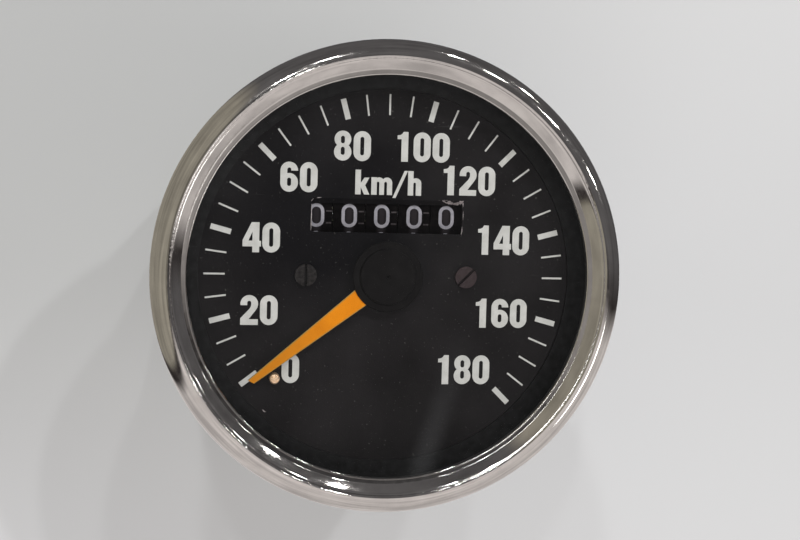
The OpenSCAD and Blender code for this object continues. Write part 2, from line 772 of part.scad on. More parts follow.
module odometer_wheel() color("goldenrod") upright() translate([upright_x, upright_y, cross_z])
    rotate(180) worm_wheel(slow_teeth, middle_wheel_r, shaft_r);

module odometer_worm() color("silver") upright() translate([upright_x, upright_y, drum_z])
    rotate(-90) worm(drum_worm_r, pitch_fine, shaft_r, 3);

module drum_axle() color("silver") upright()
    on_drum_axis(0) rod(axle_r, bracket_left_x - 0.6, bracket_right_x + bracket_t + 0.6);

// two plates that carry the axle, each with a foot screwed to the bridge
module drum_brackets() color("silver") upright()
    for (s = [[bracket_left_x, -bracket_foot], [bracket_right_x, bracket_t]]) {
        foot_x = s[0] + s[1];
        difference() {
            union() {
                translate([s[0], drum_y - bracket_w / 2, bridge_front])
                    cube([bracket_t, bracket_w, drum_z + axle_d + 1 - bridge_front]);
                translate([foot_x, drum_y - bracket_w / 2, bridge_front])
                    cube([bracket_foot, bracket_w, bracket_t]);
            }
            translate([s[0] - 1, drum_y, drum_z]) rotate([0, 90, 0]) cylinder(r = axle_r, h = bracket_t + 2);
            translate([foot_x + bracket_foot / 2, drum_y]) rod(1, bridge_front - 1, bridge_front + 2);
        }
    }

module bracket_screws() color("gray") upright()
    for (x = [bracket_left_x - bracket_foot / 2, bracket_right_x + bracket_t + bracket_foot / 2])
        translate([x, drum_y]) {
            rod(1.7, bridge_front + bracket_t, bridge_front + bracket_t + 1);
            rod(0.98, bridge_back, bridge_front + bracket_t);
        }

module drum_drive_wheel() color("goldenrod") upright() {
    drum_side = drum_x(0) + drum_w / 2;
    on_drum_axis(upright_x) rotate(90) worm_wheel(slow_teeth, drum_wheel_r, axle_r + running - seat);
    on_drum_axis(0) ring(2.5, axle_r + running, drum_side, upright_x - wheel_t / 2);
}

// sideways place of a drum, counted from the units drum at the right
function drum_x(i) = drum_middle_x + (2 - i) * drum_pitch;

// number drum i: rim, web and hub, with the carry ring on its right and two carry teeth on its left
module number_drum(i) color([0.1, 0.1, 0.1]) upright() on_drum_axis(drum_x(i)) {
    difference() {
        rod(drum_r, -drum_w / 2, drum_w / 2);
        rod(rim_in_r, drum_web / 2, drum_w);
        rod(rim_in_r, -drum_w, -drum_web / 2);
        rod(axle_r + running, -drum_w, drum_w);
    }
    ring(axle_r + 0.7, axle_r + running, -drum_hub / 2, drum_hub / 2);
    if (i > 0)
        translate([0, 0, drum_web / 2])
            linear_extrude(drum_w / 2 - drum_web / 2)
                for (t = [0:carry_teeth - 1])
                    rotate((t + 0.5) * 360 / carry_teeth)
                        polygon([[carry_pitch_r - carry_addendum, -0.22], [rim_in_r + 0.05, -0.4],
                                 [rim_in_r + 0.05, 0.4], [carry_pitch_r - carry_addendum, 0.22]]);
    if (i < 4)
        translate([0, 0, -drum_w / 2])
            linear_extrude(drum_w / 2 - drum_web / 2)
                for (a = [150, 168])
                    rotate(a) translate([carry_pitch_r + 0.2, -0.4])
                        square([rim_in_r - carry_pitch_r - 0.15, 0.8]);
}
module units_drum() number_drum(0);
module tens_drum() number_drum(1);
module hundreds_drum() number_drum(2);
module thousands_drum() number_drum(3);
module ten_thousands_drum() number_drum(4);

// middle of the gap to the right of drum i
function gap_x(i) = (drum_x(i) + drum_x(i - 1)) / 2;

// carry pinion to the right of drum i: a toothed half in drum i and a low half in the next
module carry_pinion(i) color("goldenrod") upright() on_drum_axis(gap_x(i)) translate([pinion_offset, 0]) {
    difference() {
        union() {
            translate([0, 0, -2.1]) linear_extrude(2)
                rotate(180 / pinion_teeth)
                    gear_outline(pinion_teeth, pinion_pitch_r, carry_addendum, 0.5);
            translate([0, 0, -0.1]) linear_extrude(1.6) gear_outline(4, 1.35, 0.35, 0.3);
        }
        rod(0.55, -3, 3);
    }
}
module carry_pinion_1() carry_pinion(1);
module carry_pinion_2() carry_pinion(2);
module carry_pinion_3() carry_pinion(3);
module carry_pinion_4() carry_pinion(4);

// arms keyed to the axle, each with the stub that its carry pinion turns on
module pinion_carriers() color("dimgray") upright()
    for (i = [1:4]) on_drum_axis(gap_x(i)) {
        difference() {
            union() {
                rod(axle_r + 0.7, 1.6, 2.0);
                translate([0, -0.7, 1.6]) cube([pinion_offset, 1.4, 0.4]);
                translate([pinion_offset, 0]) rod(0.7, 1.6, 2.0);
            }
            rod(axle_r, 1, 3);
        }
        translate([pinion_offset, 0]) rod(0.5, -2.1, 1.6);
    }

module cable_connector() color("silver") upright() difference() {
    union() {
        rod(thread_d / 2 - 1, case_back - 0.5, case_inside);
        translate([0, 0, case_back - 4]) rotate(30)
            cylinder(r = hexagon_w / 2 / cos(30), h = 4, $fn = 6);
        rod(thread_d / 2, case_back - 4 - thread_len, case_back - 3.5);
    }
    rod(cable_bore_d / 2, case_back - 5 - thread_len, case_back - 0.9);
    rod(drive_r + 0.2, case_back - 2, case_inside + 1);
}

module mounting_studs() color("silver") upright()
    for (p = stud_places) translate(p) {
        rod(stud_d / 2 + 1.5, case_inside, case_inside + 1);
        rod(stud_neck_r, case_back - 0.3, case_inside + 0.5);
        rod(stud_d / 2, case_back - stud_len, case_inside + 0.5);
    }

module bulb_holders() color("black") upright()
    for (p = bulb_places) translate(p) {
        rod(bulb_holder_d / 2 + 1.5, case_back - 1.5, case_back);
        rod(bulb_holder_d / 2, case_back - 0.5, case_back + bulb_holder_len);
        rod(bulb_holder_d / 3.3, case_back - 3.5, case_back - 1);
    }

module bulbs() color([0.95, 0.95, 0.85, 0.5]) upright()
    for (p = bulb_places) translate([p[0], p[1], case_back + bulb_holder_len]) {
        rod(bulb_d / 2, 0, bulb_len);
        translate([0, 0, bulb_len]) sphere(r = bulb_d / 2);
    }

module earth_tab() color("silver") upright() translate([earth_place[0], earth_place[1], case_back]) {
    translate([-earth_w * 0.63, -earth_w / 2, -earth_t]) cube([earth_w * 1.26, earth_w, earth_t]);
    translate([-earth_w * 0.63, -earth_w / 2, -earth_t - earth_len])
        cube([earth_t, earth_w, earth_len + earth_t / 2]);
}

bezel();
glass();
glass_gasket();
glass_ring();
case();
dial_plate();
dial_markings();
dial_screws();
dial_pillars();
stop_pin();
pointer_arm();
pointer_hub();
pointer_spindle();
drag_cup();
hairspring();
hairspring_collet();
hairspring_stud();
bridge_plate();
bridge_screws();
pointer_bearing();
mechanism_frame();
frame_screws();
spindle_bearing();
drive_spindle();
main_worm();
magnet();
field_ring();
cross_shaft();
cross_wheel();
cross_worm();
odometer_shaft();
odometer_wheel();
odometer_worm();
drum_axle();
drum_brackets();
bracket_screws();
drum_drive_wheel();
units_drum();
tens_drum();
hundreds_drum();
thousands_drum();
ten_thousands_drum();
carry_pinion_1();
carry_pinion_2();
carry_pinion_3();
carry_pinion_4();
pinion_carriers();
cable_connector();
mounting_studs();
bulb_holders();
bulbs();
earth_tab();
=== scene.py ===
"""Looks of a round dashboard speedometer: bright rolled bezel, black dial, orange pointer.

Outlines and sizes are in millimetres, and MM turns them into Blender's metres. The places of
patterns and lamps and the wall are in metres. The dial looks along -Y, twelve o'clock is +Z, and
the panel plane is y = 0, so a height h in front of the panel stands at y = -h.
"""

import math

import bmesh
import bpy
import numpy as np
from mathutils import Matrix, Vector


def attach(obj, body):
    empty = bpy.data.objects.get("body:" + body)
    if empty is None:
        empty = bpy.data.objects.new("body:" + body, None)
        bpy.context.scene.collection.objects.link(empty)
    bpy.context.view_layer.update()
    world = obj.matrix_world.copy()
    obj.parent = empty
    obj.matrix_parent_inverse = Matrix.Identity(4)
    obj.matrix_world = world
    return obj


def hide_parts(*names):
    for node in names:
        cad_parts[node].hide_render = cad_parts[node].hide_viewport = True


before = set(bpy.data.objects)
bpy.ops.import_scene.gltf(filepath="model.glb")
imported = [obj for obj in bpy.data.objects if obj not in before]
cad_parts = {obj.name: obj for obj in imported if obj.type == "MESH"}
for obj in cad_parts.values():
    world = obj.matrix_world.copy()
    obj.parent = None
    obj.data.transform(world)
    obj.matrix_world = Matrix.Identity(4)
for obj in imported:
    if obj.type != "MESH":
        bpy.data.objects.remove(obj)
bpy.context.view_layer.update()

# --- Bezel ---
# The real bezel is one ring of plated steel sheet, half a millimetre thick. It is spun over the
# case flange and the black ring, so a thin lip bears on the glass and the skirt turns in behind.

MM = 0.001
CREASE = 40.0  # degrees: an edge bent further stays sharp


def arc(centre, radius, start, end, steps):
    """Points of a circle's arc: centre + radius (cos a, sin a), a from start to end in degrees."""
    a = np.radians(np.linspace(start, end, steps))
    return np.column_stack([centre[0] + radius * np.cos(a), centre[1] + radius * np.sin(a)])


def line(start, end, steps):
    """Evenly spaced points from start to end, the end left out."""
    t = np.linspace(0, 1, steps, endpoint=False)[:, None]
    return np.asarray(start) * (1 - t) + np.asarray(end) * t


def skin(name, points, round_u=True, round_v=True, capped=False, crease=CREASE):
    """A grid of points as a closed skin.

    Neighbours in both directions share a four sided face. Doubled points are merged, so a pole
    closes to one point, and the faces are turned outwards. Edges bent past the crease stay sharp.
    """
    rows, columns = points.shape[:2]
    index = np.arange(rows * columns).reshape(rows, columns)
    ends = [index[0].tolist(), index[-1].tolist()] if capped else []
    if round_u:
        index = np.vstack([index, index[:1]])
    if round_v:
        index = np.hstack([index, index[:, :1]])
    quads = np.stack([index[:-1, :-1], index[1:, :-1], index[1:, 1:], index[:-1, 1:]], axis=-1)
    mesh = bpy.data.meshes.new(name)
    mesh.from_pydata(points.reshape(-1, 3).tolist(), [], quads.reshape(-1, 4).tolist() + ends)
    shell = bmesh.new()
    shell.from_mesh(mesh)
    bmesh.ops.remove_doubles(shell, verts=shell.verts, dist=1e-7)
    bmesh.ops.recalc_face_normals(shell, faces=shell.faces)
    shell.to_mesh(mesh)
    shell.free()
    mesh.shade_smooth()
    mesh.set_sharp_from_angle(angle=math.radians(crease))
    return mesh


def round_axis(radii, heights, angles, centre):
    """Points round an axis along y: x = cx + radius cos a, y = -height, z = cz + radius sin a."""
    x, z = centre[0] + radii * np.cos(angles), centre[1] + radii * np.sin(angles)
    return np.stack([x, -heights + 0 * x, z], axis=-1) * MM


def turned(outline, name, steps=256, centre=(0.0, 0.0), closed=True):
    """An outline of (radius, height) pairs, carried one full turn round an axis along y."""
    a = np.linspace(0, 2 * np.pi, steps, endpoint=False)[:, None]
    grid = round_axis(outline[None, :, 0], outline[None, :, 1], a, centre)
    return skin(name, grid, round_v=closed)


def put(name, mesh, material, body, slot_name, *nodes):
    """Makes the object of a finished piece, which moves with a body and stands for the nodes."""
    piece = bpy.data.objects.new(name, mesh)
    bpy.context.scene.collection.objects.link(piece)
    mesh.materials.clear()
    mesh.materials.append(material)
    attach(piece, body)
    if nodes:
        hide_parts(*nodes)


def finish(name, colour, rough, metal=0.0, **sockets):
    """A material whose plain sockets are set once, before any pattern is added to it."""
    material = bpy.data.materials.new(name)
    material.use_nodes = True
    shader = material.node_tree.nodes["Principled BSDF"]
    shader.inputs["Base Color"].default_value = (*colour, 1)
    shader.inputs["Roughness"].default_value = rough
    shader.inputs["Metallic"].default_value = metal
    for socket, value in sockets.items():
        shader.inputs[socket.replace("_", " ")].default_value = value
    return material


def object_place(tree):
    """The place of a point in Object coordinates."""
    return tree.nodes.new("ShaderNodeTexCoord").outputs["Object"]


def axes(tree, where):
    """A place taken apart into its X, Y and Z."""
    parts = tree.nodes.new("ShaderNodeSeparateXYZ")
    tree.links.new(where, parts.inputs["Vector"])
    return parts.outputs


def noise(tree, where, scale, detail):
    """Noise of a place."""
    texture = tree.nodes.new("ShaderNodeTexNoise")
    texture.inputs["Scale"].default_value = scale
    texture.inputs["Detail"].default_value = detail
    tree.links.new(where, texture.inputs["Vector"])
    return texture.outputs["Fac"]


def measure(tree, operation, where, given=None):
    """A place's length, its distance from a given point, or its product with a direction."""
    node = tree.nodes.new("ShaderNodeVectorMath")
    node.operation = operation
    tree.links.new(where, node.inputs[0])
    if given is not None:
        node.inputs[1].default_value = given
    return node.outputs["Value"]


def reckon(tree, operation, *terms):
    """One step of arithmetic, whose terms are patterns or plain numbers."""
    node = tree.nodes.new("ShaderNodeMath")
    node.operation = operation
    for socket, term in zip(node.inputs, terms):
        if isinstance(term, (int, float)):
            socket.default_value = term
        else:
            tree.links.new(term, socket)
    return node.outputs["Value"]


def ranged(tree, value, limits, smooth=False):
    """Carries a value from one range to another, and holds it at both ends.

    The limits are the two ends of what comes in, then the two values that go out for them.
    """
    change = tree.nodes.new("ShaderNodeMapRange")
    if smooth:
        change.interpolation_type = "SMOOTHSTEP"
    for socket, limit in zip(("From Min", "From Max", "To Min", "To Max"), limits):
        change.inputs[socket].default_value = limit
    tree.links.new(value, change.inputs["Value"])
    return change.outputs["Result"]


def cloud(material, scale, low, high, detail=4.0, stretch=(1, 1, 1), spread=(0.3, 0.7)):
    """Noise in Object coordinates, its middle range spread from low to high."""
    tree = material.node_tree
    size = tree.nodes.new("ShaderNodeMapping")
    size.inputs["Scale"].default_value = stretch
    tree.links.new(object_place(tree), size.inputs["Vector"])
    return ranged(tree, noise(tree, size.outputs["Vector"], scale, detail), (*spread, low, high))


def tint(material, amount, dark, light, under=None):
    """Blends the base colour from dark to light, or from what lies under to light, by amount."""
    nodes, links = material.node_tree.nodes, material.node_tree.links
    mix = nodes.new("ShaderNodeMix")
    mix.data_type = "RGBA"
    mix.inputs["A"].default_value = (*dark, 1)
    mix.inputs["B"].default_value = (*light, 1)
    links.new(amount, mix.inputs["Factor"])
    if under is not None:
        links.new(under, mix.inputs["A"])
    links.new(mix.outputs["Result"], nodes["Principled BSDF"].inputs["Base Color"])
    return mix.outputs["Result"]


def roughen(material, amount):
    """Lets a pattern set the roughness."""
    shader = material.node_tree.nodes["Principled BSDF"]
    material.node_tree.links.new(amount, shader.inputs["Roughness"])


def relief(material, height, depth):
    """Lifts the surface by a pattern, depth metres from its lowest to its highest."""
    nodes, links = material.node_tree.nodes, material.node_tree.links
    bump = nodes.new("ShaderNodeBump")
    bump.inputs["Distance"].default_value = depth
    links.new(height, bump.inputs["Height"])
    links.new(bump.outputs["Normal"], nodes["Principled BSDF"].inputs["Normal"])


def turning_marks(material, depth, scratch, crest_r, crest_w):
    """Marks of the spinning tool, with a worn crest.

    The marks are noise of the distance from the axis and of the height alone, so they run in
    rings. Near the crest's radius, coarse noise in Object coordinates adds nicks, in proportion
    to one less the distance from that radius over the crest's width.
    """
    tree = material.node_tree
    where = object_place(tree)
    flat = tree.nodes.new("ShaderNodeMapping")
    flat.inputs["Scale"].default_value = (1, 0, 1)
    tree.links.new(where, flat.inputs["Vector"])
    radius = measure(tree, "LENGTH", flat.outputs["Vector"])
    pair = tree.nodes.new("ShaderNodeCombineXYZ")
    tree.links.new(radius, pair.inputs["X"])
    tree.links.new(axes(tree, where)["Y"], pair.inputs["Y"])
    rings = noise(tree, pair.outputs["Vector"], scale=1500, detail=3)
    off = reckon(tree, "ABSOLUTE", reckon(tree, "SUBTRACT", radius, crest_r))
    near = ranged(tree, off, (0, crest_w, scratch, 0))
    nicks = cloud(material, 1300, 0, 1, detail=3)
    relief(material, reckon(tree, "MULTIPLY_ADD", nicks, near, rings), depth)


bright_plating = finish("bright_plating", (0.6, 0.58, 0.55), 0.08, metal=1.0)
tint(bright_plating, cloud(bright_plating, 260, 0, 1, detail=3),
     (0.56, 0.54, 0.515), (0.64, 0.62, 0.59))
roughen(bright_plating, cloud(bright_plating, 900, 0.05, 0.12, detail=5))
turning_marks(bright_plating, depth=0.0000012, scratch=14.0, crest_r=0.0392, crest_w=0.0004)

# From the lip on the glass up the inner slope to the crest, down the skirt and round its turned
# in edge, then back along the inside of the sheet.
bezel_outline = np.concatenate([
    line((36.32, 8.75), (36.22, 8.85), 3),
    arc((36.47, 8.95), 0.25, 180, 95, 8),
    line((36.5, 9.2), (37.175, 9.288), 4),
    arc((37.143, 9.536), 0.25, 277.4, 315, 7),
    arc((53.371, -6.626), 22.65, 135, 130.52, 12),
    arc((39.14, 9.98), 0.78, 126, 92, 8),
    line((39.28, 10.8), (39.4, 10.94), 2),
    arc((39.3, 7.6), 3.38, 87, 0, 40),
    line((42.67, 7.4), (42.13, 0.5), 14),
    arc((41.75, 0.4), 0.38, 5, -90, 8),
    line((41.7, 0.02), (40.8, 0.02), 6),
    arc((40.8, 0.25), 0.23, 270, 90, 8),
    line((40.95, 0.48), (41.45, 0.5), 3),
    line((41.65, 0.8), (42.15, 7.5), 6),
    arc((39.3, 7.6), 2.87, 0, 80, 16),
    line((39.4, 10.4), (38.9, 10.25), 2),
    line((38.8, 10.1), (37.7, 9.1), 5),
    line((37.4, 8.85), (37.0, 8.73), 2),
    line((36.9, 8.73), (36.4, 8.73), 3),
])
put("bezel_ring", turned(bezel_outline, "bezel_ring"), bright_plating, "gauge", "bezel", "bezel")

# --- Glass, gasket and black ring ---
# A flat pane lies in a rubber gasket on a black moulded ring. The ring's flange rests on the edge
# of the dial, and its wall shows as the dark step inside the bezel's lip.


def smear(material, across, offset, half_width, along, start, full, high):
    """A soft straight streak in Object coordinates.

    Its strength falls smoothly from high to 0 as the distance from the line grows to the half
    width. The line holds the points whose product with across is the offset. The streak fades in
    where the product with along runs from start to full.
    """
    tree = material.node_tree
    where = object_place(tree)
    off = reckon(tree, "SUBTRACT", measure(tree, "DOT_PRODUCT", where, across), offset)
    near = ranged(tree, reckon(tree, "ABSOLUTE", off), (0, half_width, high, 0), smooth=True)
    run = measure(tree, "DOT_PRODUCT", where, along)
    return reckon(tree, "MULTIPLY", near, ranged(tree, run, (start, full, 0, 1), smooth=True))


clear_glass = finish("clear_glass", (0.8, 0.82, 0.85), 0.08, IOR=1.5)
# Painted reflection: a pale streak on the lower right of the pane stands in for a reflection, and
# it is added to the pane's haze.
streak = smear(clear_glass, across=(0.955, 0, -0.295), offset=0.0164, half_width=0.0035,
               along=(-0.295, 0, -0.955), start=0.002, full=0.03, high=0.012)
haze_and_painted_streak = reckon(clear_glass.node_tree, "ADD", cloud(clear_glass, 60, 0.001, 0.003), streak)
clear_glass.node_tree.links.new(
    haze_and_painted_streak, clear_glass.node_tree.nodes["Principled BSDF"].inputs["Alpha"])
black_rubber = finish("black_rubber", (0.02, 0.02, 0.02), 0.7)
tint(black_rubber, cloud(black_rubber, 1500, 0, 1), (0.012, 0.012, 0.012), (0.03, 0.03, 0.03))
black_moulding = finish("black_moulding", (0.012, 0.012, 0.012), 0.4, Specular_IOR_Level=0.15)
tint(black_moulding, cloud(black_moulding, 700, 0, 1),
     (0.005, 0.005, 0.005), (0.013, 0.013, 0.0135))
relief(black_moulding, cloud(black_moulding, 5000, 0, 1), 0.00001)


def wear(node, material):
    """Gives a node that keeps its own shape its finish."""
    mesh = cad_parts[node].data
    mesh.materials.clear()
    mesh.materials.append(material)


wear("glass", clear_glass)
wear("glass_gasket", black_rubber)
wear("glass_ring", black_moulding)

# --- Dial plate and its printing ---
# The dial is sheet metal in matt black lacquer, pierced for the window, the hub and the screws.
# The scale is printed in off-white. Handling has left dust, fine scratches and chipped edges.

DIAL_FACE = 2.3    # height of the face in front of the panel
BLACK = (0, 0, 0)  # the unused dark end of a tint that lies over another


def nearness(material, point, inner, outer, most):
    """Falls smoothly from most to 0 as the distance from a point grows from inner to outer."""
    tree = material.node_tree
    away = measure(tree, "DISTANCE", object_place(tree), point)
    return ranged(tree, away, (inner, outer, most, 0), smooth=True)


black_lacquer = finish("black_lacquer", (0.01, 0.01, 0.01), 0.55, Specular_IOR_Level=0.08)
lacquer = tint(black_lacquer, cloud(black_lacquer, 120, 0, 1),
               (0.0085, 0.0079, 0.0082), (0.0135, 0.0125, 0.013))
# Painted shade: the lacquer is painted darker round the window and to the upper left, where the
# glass shows less reflection.
shade_round_window = nearness(black_lacquer, (-0.01, 0, 0.01), inner=0.008, outer=0.028, most=0.8)
deep = tint(black_lacquer, shade_round_window, BLACK, (0.0035, 0.0034, 0.0045), under=lacquer)
# Painted sheen: broad paler patches on the black face stand in for reflections.
sheen_patches = cloud(black_lacquer, 34, 0, 0.6, detail=3, spread=(0.45, 0.65))
painted_sheen = tint(black_lacquer, sheen_patches, BLACK, (0.019, 0.0175, 0.0185), under=deep)
dust = cloud(black_lacquer, 2300, 0, 0.7, detail=2, spread=(0.7, 0.78))
dusty = tint(black_lacquer, dust, BLACK, (0.1, 0.098, 0.09), under=painted_sheen)
scratch = cloud(black_lacquer, 420, 0, 0.3, detail=3, stretch=(0.12, 1, 2.2), spread=(0.71, 0.76))
tint(black_lacquer, scratch, BLACK, (0.06, 0.06, 0.058), under=dusty)
roughen(black_lacquer, cloud(black_lacquer, 900, 0.45, 0.65))
relief(black_lacquer, cloud(black_lacquer, 3500, 0, 1), 0.00001)

white_ink = finish("white_ink", (0.6, 0.595, 0.56), 0.65, Specular_IOR_Level=0.3)
ink = tint(white_ink, cloud(white_ink, 500, 0, 1), (0.5, 0.505, 0.48), (0.61, 0.615, 0.59))
specks = cloud(white_ink, 4200, 0, 0.5, spread=(0.68, 0.78))
tint(white_ink, specks, BLACK, (0.3, 0.29, 0.26), under=ink)
wear("dial_plate", black_lacquer)
wear("dial_markings", white_ink)

bare_metal = finish("bare_metal", (0.6, 0.56, 0.54), 0.4, metal=0.6)
tint(bare_metal, cloud(bare_metal, 4000, 0, 1), (0.24, 0.215, 0.215), (0.56, 0.51, 0.51))
WINDOW = {"half_width": 13.95, "top": 14.1, "bevel": 0.9, "depth": 0.8, "corner": 0.25}
FLAKE_HEIGHT, FLAKE_SECTIONS, BLUNT_END = 0.03, 14, 0.15


def flake(path, width, seed, beveled):
    """A thin ragged flake along a path on the dial.

    At each point of the path, its half width is the given width times a blunt end plus a half
    sine over the path, times a random roughness, and its top is flat. On the bevel above the
    window it sinks with the metal, by a share of the dial's thickness that grows with the distance
    below the bevel's upper edge, and evenly to nothing towards the window's corner.
    """
    rng = np.random.default_rng(seed)
    path = np.asarray(path, float)
    along = np.linspace(0, 1, FLAKE_SECTIONS)
    at = np.linspace(0, 1, len(path))
    x, z = np.interp(along, at, path[:, 0]), np.interp(along, at, path[:, 1])
    dx, dz = np.gradient(x), np.gradient(z)
    length = np.hypot(dx, dz)
    ragged = rng.uniform(0.45, 1.0, FLAKE_SECTIONS)
    half = width * (BLUNT_END + np.sin(np.pi * along)) * ragged
    across = np.array([-1.0, 1.0, 1.0, -1.0])[None]
    lift = np.array([0.0, 0.0, 1.0, 1.0])[None]
    gx = x[:, None] - (dz / length * half)[:, None] * across
    gz = z[:, None] + (dx / length * half)[:, None] * across
    sunk = np.clip((WINDOW["top"] - gz) / WINDOW["bevel"], 0, 1) * WINDOW["depth"]
    inward = np.clip((WINDOW["half_width"] - np.abs(gx)) / WINDOW["corner"], 0, 1)
    sunk = sunk * inward * beveled
    gy = sunk - (DIAL_FACE + FLAKE_HEIGHT * lift)
    return np.stack([gx, gy, gz], axis=-1) * MM


def joined(name, parts):
    """Several small skins as one mesh."""
    whole = bmesh.new()
    for part in parts:
        whole.from_mesh(part)
        bpy.data.meshes.remove(part)
    mesh = bpy.data.meshes.new(name)
    whole.to_mesh(mesh)
    whole.free()
    mesh.shade_smooth()
    mesh.set_sharp_from_angle(angle=math.radians(CREASE))
    return mesh


# Each chip's path as (x, z) points, its half width, and whether it lies on the window's bevel.
CHIPS = [
    ([(-14.05, 8.1), (-14.0, 10.4), (-14.0, 13.0)], 0.09, False),
    ([(-14.05, 13.5), (-13.65, 14.02)], 0.1, True),
    ([(-13.1, 14.1), (-12.2, 14.2)], 0.07, False),
    ([(10.2, 14.1), (11.1, 13.88), (12.7, 13.45)], 0.34, True),
    ([(12.3, 13.5), (13.2, 13.6), (14.15, 14.1)], 0.42, True),
    ([(14.05, 13.9), (14.08, 13.0)], 0.09, False),
    ([(14.12, 12.2), (14.15, 11.4), (14.1, 10.6)], 0.05, False),
    ([(13.98, 9.4), (13.98, 8.4), (13.85, 7.75)], 0.09, False),
    ([(-22.3, -24.8), (-21.9, -25.2), (-21.6, -25.25)], 0.09, False),
]
chips = [skin("chip", flake(path, width, seed, beveled), round_u=False, capped=True)
         for seed, (path, width, beveled) in enumerate(CHIPS, 1)]
put("window_chips", joined("window_chips", chips), bare_metal, "gauge", "cup")

# --- Dial screws and stop pin ---
# Two blackened slotted screws hold the dial to its pillars. The resting pointer stops short of
# a small copper pin with a domed end, which is riveted through the dial.

black_steel = finish("black_steel", (0.022, 0.022, 0.022), 0.42, metal=0.5,
                     Specular_IOR_Level=0.25)
blued = tint(black_steel, cloud(black_steel, 1600, 0, 1),
             (0.008, 0.0075, 0.008), (0.036, 0.033, 0.032))
right_screw = nearness(black_steel, (0.01485, -0.003, 0), inner=0.002, outer=0.005, most=0.5)
worn = tint(black_steel, right_screw, BLACK, (0.075, 0.052, 0.055), under=blued)
# Painted shade: the screws are painted near black at the depth of the slots' floors.
slot_shade = smear(black_steel, across=(0, 1, 0), offset=-0.0026, half_width=0.0003,
                   along=(0, 0, 1), start=-1, full=-0.9, high=1.0)
tint(black_steel, slot_shade, BLACK, (0.002, 0.002, 0.002), under=worn)
roughen(black_steel, cloud(black_steel, 3000, 0.3, 0.55))
relief(black_steel, cloud(black_steel, 2500, 0, 1, stretch=(1, 1, 6)), 0.00002)
wear("dial_screws", black_steel)

copper = finish("copper", (0.86, 0.58, 0.36), 0.3, metal=0.75)
tint(copper, cloud(copper, 2200, 0, 1), (0.8, 0.5, 0.29), (1.0, 0.78, 0.55))
roughen(copper, cloud(copper, 3000, 0.22, 0.4))
PIN_ANGLE, PIN_RADIUS = math.radians(133), 27.7
pin_outline = np.concatenate([
    [(0, 1.0), (0.95, 1.0)],
    line((0.95, 1.2), (0.95, 4.15), 6),
    arc((0.55, 4.15), 0.4, 0, 80, 8),
    [(0.4, 4.59), (0.2, 4.6), (0, 4.6)],
])
pin_place = (-PIN_RADIUS * math.sin(PIN_ANGLE), PIN_RADIUS * math.cos(PIN_ANGLE))
pin = turned(pin_outline, "stop_pin_rivet", steps=32, centre=pin_place, closed=False)
put("stop_pin_rivet", pin, copper, "gauge", "pin", "stop_pin")

# --- Pointer ---
# The arm is thin sheet, painted orange, with its sheared edges left pale. It is riveted under
# a black moulded hub, whose raised cap has a fine centre dimple, on a spindle with the drag cup.

REST = math.radians(128.4)
ARM_ENDS = (6.3, 31.5)      # distances of the arm's root and tip from the pivot
ARM_HALVES = (1.73, 0.6)    # half widths there
UNDER_HUB = [2.2, 4.4]      # sections hidden by the hub
ARM_BACK, ARM_THICKNESS = 4.1, 0.5
TOP_POINTS, BACK_POINTS = 17, 9
ROUNDED_FROM = 0.86         # share of the half width past which the sheared edge is rounded
TOP_DROP, BACK_RISE = 0.12, 0.06
CUT_FROM, TIP_SLANT = 28, 0.5
PALE_EDGE = 0.22            # width of the pale band along the edges

orange_paint = finish("orange_paint", (0.8, 0.26, 0.004), 0.5, Specular_IOR_Level=0.1)
fresh = tint(orange_paint, cloud(orange_paint, 260, 0, 1),
             (0.69, 0.212, 0.003), (0.82, 0.272, 0.006))
# Painted shade: the orange is painted darker towards the arm's tip.
shade_toward_tip = nearness(orange_paint, (-0.026, 0, -0.02), inner=0.006, outer=0.025, most=0.75)
shade = tint(orange_paint, shade_toward_tip, BLACK, (0.5, 0.19, 0.012), under=fresh)
rim = orange_paint.node_tree.nodes.new("ShaderNodeAttribute")
rim.attribute_name = "rim"
tint(orange_paint, rim.outputs["Fac"], BLACK, (0.34, 0.26, 0.08), under=shade)
roughen(orange_paint, cloud(orange_paint, 1800, 0.36, 0.52))
relief(orange_paint, cloud(orange_paint, 1500, 0, 1), 0.000008)


def arm_grid():
    """The arm as a ring of cross sections along its length.

    Its half width falls in a straight line from the hub to the tip. Each section runs flat across
    the top, turns down over a rounded edge and comes back flat below. Over the edge it leaves the
    flat by the square of the share of the edge that it has crossed. The tip's cut is slanted: the
    left side falls back evenly along the arm's last part, by half a millimetre at the end.
    """
    along = np.concatenate([UNDER_HUB, np.linspace(*ARM_ENDS, 48)])[:, None]
    half = np.interp(along, ARM_ENDS, ARM_HALVES)
    side = np.concatenate([np.linspace(-1, 1, TOP_POINTS), np.linspace(1, -1, BACK_POINTS)])[None]
    top = np.concatenate([np.ones(TOP_POINTS), np.zeros(BACK_POINTS)])[None]
    edge = np.clip((np.abs(side) - ROUNDED_FROM) / (1 - ROUNDED_FROM), 0, 1)
    x = half * side
    near_tip = np.clip((along - CUT_FROM) / (ARM_ENDS[1] - CUT_FROM), 0, 1)
    y = along - TIP_SLANT / 2 * (1 - side) * near_tip
    h = ARM_BACK + ARM_THICKNESS * top + (BACK_RISE * (1 - top) - TOP_DROP * top) * edge ** 2
    c, s = math.cos(REST), math.sin(REST)
    return np.stack([x * c - y * s, -h + 0 * x, x * s + y * c], axis=-1) * MM


arm_mesh = skin("orange_arm", arm_grid(), round_u=False, capped=True, crease=50)
corners = np.empty(len(arm_mesh.vertices) * 3)
arm_mesh.vertices.foreach_get("co", corners)
corners = corners.reshape(-1, 3) / MM
reach = corners[:, 2] * math.cos(REST) - corners[:, 0] * math.sin(REST)
off_centre = np.abs(corners[:, 0] * math.cos(REST) + corners[:, 2] * math.sin(REST))
margin = np.interp(reach, ARM_ENDS, ARM_HALVES) - off_centre
arm_mesh.attributes.new("rim", "FLOAT", "POINT").data.foreach_set(
    "value", np.clip(1.0 - margin / PALE_EDGE, 0, 1))
put("orange_arm", arm_mesh, orange_paint, "pointer", "pointer", "pointer_arm")

